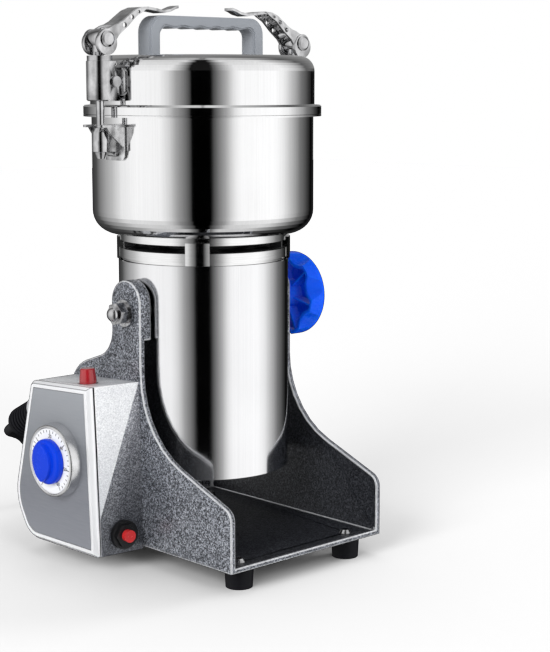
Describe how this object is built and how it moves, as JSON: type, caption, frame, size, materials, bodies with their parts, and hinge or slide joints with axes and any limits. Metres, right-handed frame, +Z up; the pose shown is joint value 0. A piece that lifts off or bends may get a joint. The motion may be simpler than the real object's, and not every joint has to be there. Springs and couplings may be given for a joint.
{
  "type": "electric spice grinder",
  "caption": "Electric swing grinder with a latched steel bowl, a tilting motor head in a bent sheet cradle, a timer box and a mains cord.",
  "frame": {"origin": "on the floor under the motor's axis, between the two side plates", "axes": "+Z up along the motor axis, -Y the front of the tray, +X the side with the blue lock knob"},
  "size_m": [0.2108, 0.2749, 0.3616],
  "materials": {
    "polished_steel": "mirror polished stainless steel",
    "latch_chrome": "polished",
    "bolt_steel": "bright zinc plated",
    "hammered_grey": "hammered enamel, dark grey",
    "hammered_silver": "hammered enamel, silver grey",
    "cover_silver": "gloss",
    "panel_grey": "satin",
    "dial_silver": "satin",
    "dial_white": "printed white",
    "blue_plastic": "gloss",
    "red_plastic": "gloss",
    "red_lens": "translucent gloss",
    "black_plastic": "moulded",
    "black_rubber": "matt",
    "cord_black": "flexible PVC",
    "handle_grey": "satin",
    "seal_white": "silicone",
    "cast_alloy": "as cast, machined edge",
    "core_steel": "laminated",
    "winding": "enamelled copper",
    "copper": "turned",
    "brass": "plain",
    "carbon": "carbon in brass holders"
  },
  "bodies": {
    "stand": {"cradle": "hammered_grey", "feet": "black_rubber", "foot_screws": "bolt_steel", "box_housing": "hammered_silver", "box_cover": "cover_silver", "control_panel": "panel_grey", "breaker_plate": "hammered_grey", "box_screws": "bolt_steel", "dial_bezel": "dial_silver", "dial_face": "dial_white", "timer_case": "black_plastic", "breaker_body": "black_plastic", "breaker_collar": "black_plastic", "switch_body": "black_plastic", "strain_relief": "black_rubber", "cord": "cord_black", "cord_coil": "cord_black", "plug": "black_plastic", "plug_pins": "brass"},
    "timer": {"timer_knob": "blue_plastic"},
    "reset": {"reset_button": "red_plastic"},
    "power": {"power_button": "red_lens"},
    "head": {"motor_casing": "polished_steel", "bottom_cover": "black_plastic", "stator": "core_steel", "brush_gear": "carbon", "bearings": "bolt_steel", "neck_frame": "cast_alloy", "grinding_bowl": "polished_steel", "pivot_bosses": "bolt_steel", "pivot_bolt": "bolt_steel", "pivot_washers": "bolt_steel", "pivot_nut": "bolt_steel", "pivot_cap_nut": "latch_chrome", "lock_stud": "bolt_steel", "latch_catches": "latch_chrome"},
    "knob": {"lock_knob": "blue_plastic"},
    "rotor": {"rotor_shaft": "bolt_steel", "armature": "winding", "commutator": "copper", "cooling_fan": "black_plastic", "lower_blade": "bolt_steel", "upper_blade": "bolt_steel", "blade_spacers": "bolt_steel", "blade_nut": "bolt_steel"},
    "lid": {"lid_shell": "polished_steel", "lid_gasket": "seal_white", "handle": "handle_grey", "handle_screws": "bolt_steel", "latch_lugs": "latch_chrome", "latch_hinge_screws": "latch_chrome"},
    "sleeve_left": {"latch_sleeve_left": "latch_chrome"},
    "sleeve_right": {"latch_sleeve_right": "latch_chrome"},
    "rod_left": {"latch_rod_left": "latch_chrome", "lever_pin_left": "latch_chrome"},
    "rod_right": {"latch_rod_right": "latch_chrome", "lever_pin_right": "latch_chrome"},
    "lever_left": {"latch_lever_left": "latch_chrome"},
    "lever_right": {"latch_lever_right": "latch_chrome"}
  },
  "joints": [
    {"name": "head_tilt", "type": "hinge", "parent": "stand", "child": "head", "pos_m": [0, 0, 0.166], "axis": [1, 0, 0], "range_deg": [0, 90]},
    {"name": "lock_knob_turn", "type": "hinge", "parent": "head", "child": "knob", "pos_m": [0.08, 0, 0.166], "axis": [1, 0, 0], "range_deg": [0, 360]},
    {"name": "blade_spin", "type": "hinge", "parent": "head", "child": "rotor", "pos_m": [0, 0, 0.15], "axis": [0, 0, 1], "continuous": true},
    {"name": "lid_lift", "type": "slide", "parent": "head", "child": "lid", "axis": [0, 0, 1], "range_m": [0, 0.12]},
    {"name": "latch_swing_left", "type": "hinge", "parent": "lid", "child": "sleeve_left", "pos_m": [-0.0786, 0, 0.3133], "axis": [0, 1, 0], "range_deg": [0, 24]},
    {"name": "latch_drop_left", "type": "slide", "parent": "sleeve_left", "child": "rod_left", "axis": [0, 0, -1], "range_m": [0, 0.0016]},
    {"name": "latch_lever_left", "type": "hinge", "parent": "rod_left", "child": "lever_left", "pos_m": [-0.0844, 0, 0.3394], "axis": [0, -1, 0], "range_deg": [0, 120]},
    {"name": "latch_swing_right", "type": "hinge", "parent": "lid", "child": "sleeve_right", "pos_m": [0.0786, 0, 0.3133], "axis": [0, -1, 0], "range_deg": [0, 24]},
    {"name": "latch_drop_right", "type": "slide", "parent": "sleeve_right", "child": "rod_right", "axis": [0, 0, -1], "range_m": [0, 0.0016]},
    {"name": "latch_lever_right", "type": "hinge", "parent": "rod_right", "child": "lever_right", "pos_m": [0.0844, 0, 0.3394], "axis": [0, 1, 0], "range_deg": [0, 120]},
    {"name": "timer_turn", "type": "hinge", "parent": "stand", "child": "timer", "pos_m": [-0.11, 0.0255, 0.071], "axis": [-1, 0, 0], "range_deg": [-300, 0]},
    {"name": "reset_press", "type": "slide", "parent": "stand", "child": "reset", "axis": [0.0993, 0.9947, -0.0279], "range_m": [0, 0.0025], "stiffness_N_per_m": 400},
    {"name": "power_press", "type": "slide", "parent": "stand", "child": "power", "axis": [0, -0.0523, -0.9986], "range_m": [0, 0.0025], "stiffness_N_per_m": 400}
  ],
  "couplings": [
    {"joint": "latch_drop_left", "follows": "latch_lever_left", "m_per_rad": 0.0007632},
    {"joint": "latch_swing_left", "follows": "latch_lever_left", "ratio": 0.1998},
    {"joint": "latch_drop_right", "follows": "latch_lever_right", "m_per_rad": 0.0007632},
    {"joint": "latch_swing_right", "follows": "latch_lever_right", "ratio": 0.1998}
  ]
}
